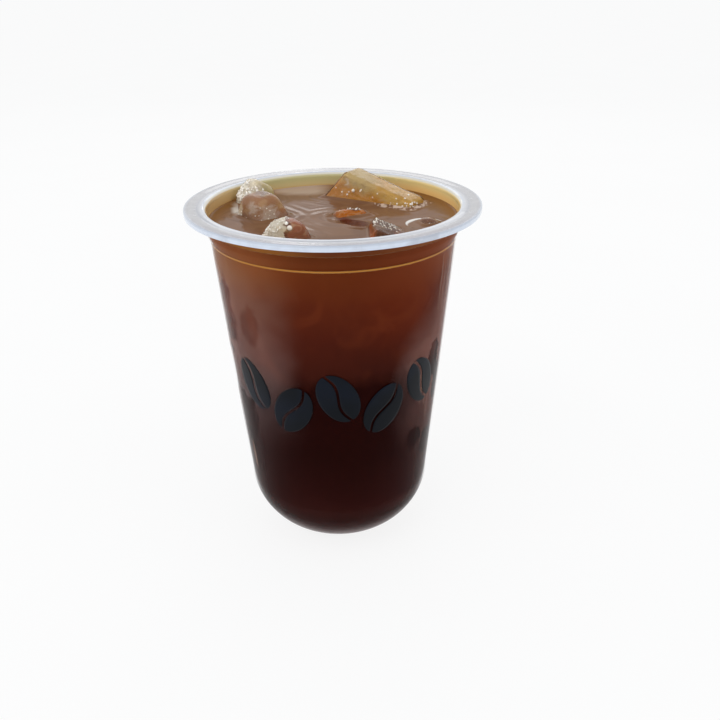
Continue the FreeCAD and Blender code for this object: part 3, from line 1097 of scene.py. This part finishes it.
def half_bean(shape, settings, side, put):
    """One half of a bean, between its bent crease and its outline, as a bent sheet."""
    along, across = 22, 8
    long = settings.bean_length
    grid = []
    for i in range(along + 1):
        v = long / 2 * math.sin((-1 + 2 * i / along) * math.pi / 2) * 0.985
        near = settings.bean_width * 0.10 * math.sin(v / long * 2 * math.pi) + side * CREASE
        far = side * settings.bean_width / 2 * max(0, 1 - (v / (long / 2)) ** 2) ** 0.5
        if side * (far - near) < SLIVER:
            far = near + side * SLIVER
        grid.append([put(near + (far - near) * j / across, v) for j in range(across + 1)])
    verts = [[shape.verts.new(p) for p in row] for row in grid]
    for low, high in zip(verts, verts[1:]):
        for j in range(across):
            shape.faces.new((low[j], low[j + 1], high[j + 1], high[j]))


def bean_place(cup, settings, k):
    """Puts a point of bean k on the side of the cup, leaning to and fro along the row."""
    bearing = settings.spread * (k / max(1, settings.beans - 1) - 0.5)
    sway = 1 if k % 2 == 0 else -1
    tilt, lift = math.radians(28 * sway), 0.0028 * sway

    def put(u, v):
        across = u * math.cos(tilt) - v * math.sin(tilt)
        height = settings.height + lift + u * math.sin(tilt) + v * math.cos(tilt)
        radius = side_radius(cup, height) + INK / 2
        angle = bearing + across / radius
        return Vector((radius * math.sin(angle), -radius * math.cos(angle), height))

    return put


class AMERICANO_OT_print(bpy.types.Operator):
    """Prints a row of coffee beans round the front of the cup"""

    bl_idname = "americano.print"
    bl_label = "Printed beans"

    def execute(self, context):
        cup, settings = context.scene.americano_cup, context.scene.americano_print
        shape = bmesh.new()
        for k in range(settings.beans):
            put = bean_place(cup, settings, k)
            for side in (-1, 1):
                half_bean(shape, settings, side, put)
        for face in shape.faces:
            out = Vector((face.calc_center_median().x, face.calc_center_median().y, 0))
            face.normal_update()
            if face.normal.dot(out) < 0:
                face.normal_flip()
        sheet = placed("bean_sheet", as_mesh(shape, "bean_sheet"))
        thick = sheet.modifiers.new("Thick", "SOLIDIFY")
        thick.thickness, thick.offset = INK, -1
        piece("printed_beans", modified(sheet), [ink_material(settings)], ())
        return {"FINISHED"}


# -------- studio


# Each lamp: its name, its place, the height it is aimed at, its size, and its power in watts.
LAMPS = (
    ("key_softbox", (-0.6, -0.4, 0.8), 0.08, (0.6, 0.6), 1.5),
    ("fill_softbox", (0.75, -0.3, 0.6), 0.08, (0.5, 0.6), 0.6),
    ("back_softbox", (0.05, 0.85, 0.6), 0.1, (0.7, 0.35), 0.8),
    ("sparkle_lamp", (-0.036, 0.6, 0.249), 0.115, (0.05, 0.03), 0.012),
    ("sparkle_lamp_front", (-0.25, -0.5, 0.62), 0.115, (0.05, 0.05), 0.3),
)
SEEN_BY = ("Is Camera Ray", "Is Glossy Ray", "Is Transmission Ray")
# The camera stands in front of the cup and looks down on it, with a slight roll.
CAMERA_PLACE = (0, -0.24503, 0.18493)
CAMERA_AHEAD = (0.02951, 0.89560, -0.44388)
CAMERA_RIGHT = (0.99925, -0.03748, -0.00920)


def area_lamp(name, place, aim, size, power):
    """A soft box that faces a point on the cup's axis."""
    lamp = bpy.data.lights.new(name, "AREA")
    lamp.shape, lamp.size, lamp.size_y = "RECTANGLE", *size
    lamp.energy = power
    thing = placed(name, lamp)
    thing.location = place
    thing.rotation_euler = (Vector((0, 0, aim)) - Vector(place)).to_track_quat("-Z", "Y").to_euler()


def seen_white(shader, plain, light, share):
    """Mixes in white light where the eye, a mirror or glass sees the surface: all round is white."""
    white = shader.add(light, sockets={"Color": (1, 1, 1), "Strength": 1})
    path = shader.add("LightPath")
    seen = highest([Field(shader, path.outputs[ray]) for ray in SEEN_BY]) * share
    return shader.show(shader.add("MixShader", sockets=[seen, plain.outputs[0], white.outputs[0]]))


def floor_material(studio):
    """Pale matt floor that catches a faint shadow."""
    shader = Shader("studio_floor")
    here, _ = shader.place()
    tone = shader.mix(shader.noise(here, 0.01, 2).band(0.3, 0.7), studio.floor, srgb(247, 247, 247))
    matt = {"Base Color": tone, "Roughness": 0.9, "Specular IOR Level": 0}
    surface = shader.add("BsdfPrincipled", sockets=matt)
    return seen_white(shader, surface, "Emission", 0.85)


def sky(studio):
    """Soft, slightly cool light from all round."""
    shader = Shader("studio_sky", "World")
    soft = shader.add("Background", sockets={"Color": (0.96, 0.98, 1), "Strength": studio.sky})
    return seen_white(shader, soft, "Background", 1)


def main_camera(studio):
    """The eye in front of the cup."""
    eye = bpy.data.cameras.new("main_camera")
    eye.lens, eye.sensor_width = studio.lens, 36
    eye.clip_start, eye.clip_end = 0.01, 50
    camera = placed("main_camera", eye)
    ahead, right = Vector(CAMERA_AHEAD).normalized(), Vector(CAMERA_RIGHT)
    right = (right - ahead * right.dot(ahead)).normalized()
    turn = Matrix((right, right.cross(ahead), -ahead)).transposed()
    camera.matrix_world = Matrix.Translation(CAMERA_PLACE) @ turn.to_4x4()
    return camera


class AMERICANO_OT_studio(bpy.types.Operator):
    """Sets the floor, the soft boxes, the sky and the camera"""

    bl_idname = "americano.studio"
    bl_label = "Studio"

    def execute(self, context):
        scene, studio = context.scene, context.scene.americano_studio
        shape = bmesh.new()
        bmesh.ops.create_circle(shape, cap_ends=True, segments=96, radius=12)
        mesh = as_mesh(shape, "studio_floor")
        mesh.materials.append(floor_material(studio))
        ground = placed("studio_floor", mesh)
        for name, place, aim, size, power in LAMPS:
            area_lamp(name, place, aim, size, power * studio.lamps)
        scene.world = sky(studio)
        scene.camera = main_camera(studio)
        scene.view_settings.view_transform = "Standard"
        return {"FINISHED"}


# -------- panel and main


class AMERICANO_PT_panel(bpy.types.Panel):
    """Lists the pieces of the drink and their settings"""

    bl_idname = "AMERICANO_PT_panel"
    bl_label = "Iced Americano"
    bl_space_type = "VIEW_3D"
    bl_region_type = "UI"
    bl_category = "Americano"

    def draw(self, context):
        for operator, name, group in STEPS:
            box = self.layout.box()
            box.operator(operator.bl_idname)
            for key in group.__annotations__:
                box.prop(getattr(context.scene, name), key)


# In the order in which they run: each operator, and its settings by name and group.
STEPS = (
    (AMERICANO_OT_cup, "americano_cup", CupSettings),
    (AMERICANO_OT_coffee, "americano_coffee", CoffeeSettings),
    (AMERICANO_OT_ice, "americano_ice", IceSettings),
    (AMERICANO_OT_print, "americano_print", PrintSettings),
    (AMERICANO_OT_studio, "americano_studio", StudioSettings),
)
CLASSES = (*(step[2] for step in STEPS), *(step[0] for step in STEPS), AMERICANO_PT_panel)


def register():
    for item in CLASSES:
        bpy.utils.register_class(item)
    for _, name, group in STEPS:
        setattr(bpy.types.Scene, name, bpy.props.PointerProperty(type=group))


def unregister():
    for _, name, _ in STEPS:
        delattr(bpy.types.Scene, name)
    for item in reversed(CLASSES):
        bpy.utils.unregister_class(item)


def main():
    register()
    for operator, _, _ in STEPS:
        getattr(bpy.ops.americano, operator.bl_idname.split(".")[1])()


if __name__ == "__main__":
    main()
